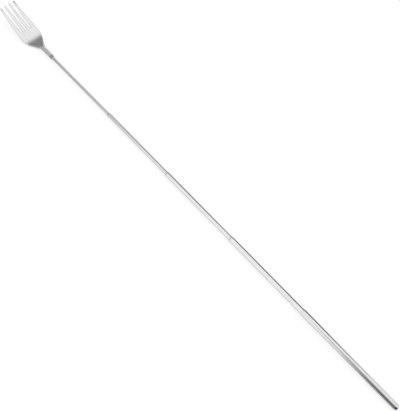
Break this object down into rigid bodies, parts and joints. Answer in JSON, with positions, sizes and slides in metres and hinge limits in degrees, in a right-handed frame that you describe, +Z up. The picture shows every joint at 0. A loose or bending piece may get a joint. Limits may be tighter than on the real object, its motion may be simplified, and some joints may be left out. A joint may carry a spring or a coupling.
{
  "type": "telescopic fork",
  "caption": "Long-reach table fork: a tined steel head on a rod of nested tubes that slide and turn in each other, with a rounded end cap.",
  "frame": {"origin": "on the table under the fork, half way along its full stretch", "axes": "+X along the rod towards the tines, +Y across the head, +Z up out of the fork's face"},
  "size_m": [0.6342, 0.0234, 0.0194],
  "materials": {
    "tube_steel": "polished stainless steel, drawn tube",
    "head_steel": "polished stainless steel, pressed sheet",
    "plug_brass": "turned brass",
    "shim_bronze": "rolled spring bronze"
  },
  "bodies": {
    "handle": {"handle_tube": "tube_steel", "end_cap": "tube_steel"},
    "shims_4": {"shim_4a": "shim_bronze", "shim_4b": "shim_bronze"},
    "section_4": {"tube_4": "tube_steel", "foot_plug_4": "plug_brass"},
    "shims_3": {"shim_3a": "shim_bronze", "shim_3b": "shim_bronze"},
    "section_3": {"tube_3": "tube_steel", "foot_plug_3": "plug_brass"},
    "shims_2": {"shim_2a": "shim_bronze", "shim_2b": "shim_bronze"},
    "section_2": {"tube_2": "tube_steel", "foot_plug_2": "plug_brass"},
    "shims_1": {"shim_1a": "shim_bronze", "shim_1b": "shim_bronze"},
    "section_1": {"tube_1": "tube_steel", "foot_plug_1": "plug_brass", "neck_ferrule": "tube_steel", "fork_head": "head_steel"}
  },
  "joints": [
    {"name": "slide_4", "type": "slide", "parent": "handle", "child": "shims_4", "axis": [1, 0, 0], "range_m": [-0.1039, 0]},
    {"name": "swivel_4", "type": "hinge", "parent": "shims_4", "child": "section_4", "pos_m": [-0.19, 0, 0.0034], "axis": [1, 0, 0], "continuous": true},
    {"name": "slide_3", "type": "slide", "parent": "section_4", "child": "shims_3", "axis": [1, 0, 0], "range_m": [-0.0987, 0]},
    {"name": "swivel_3", "type": "hinge", "parent": "shims_3", "child": "section_3", "pos_m": [-0.083, 0, 0.0034], "axis": [1, 0, 0], "continuous": true},
    {"name": "slide_2", "type": "slide", "parent": "section_3", "child": "shims_2", "axis": [1, 0, 0], "range_m": [-0.0947, 0]},
    {"name": "swivel_2", "type": "hinge", "parent": "shims_2", "child": "section_2", "pos_m": [0.02, 0, 0.0034], "axis": [1, 0, 0], "continuous": true},
    {"name": "slide_1", "type": "slide", "parent": "section_2", "child": "shims_1", "axis": [1, 0, 0], "range_m": [-0.0937, 0]},
    {"name": "swivel_1", "type": "hinge", "parent": "shims_1", "child": "section_1", "pos_m": [0.122, 0, 0.0034], "axis": [1, 0, 0], "continuous": true}
  ]
}
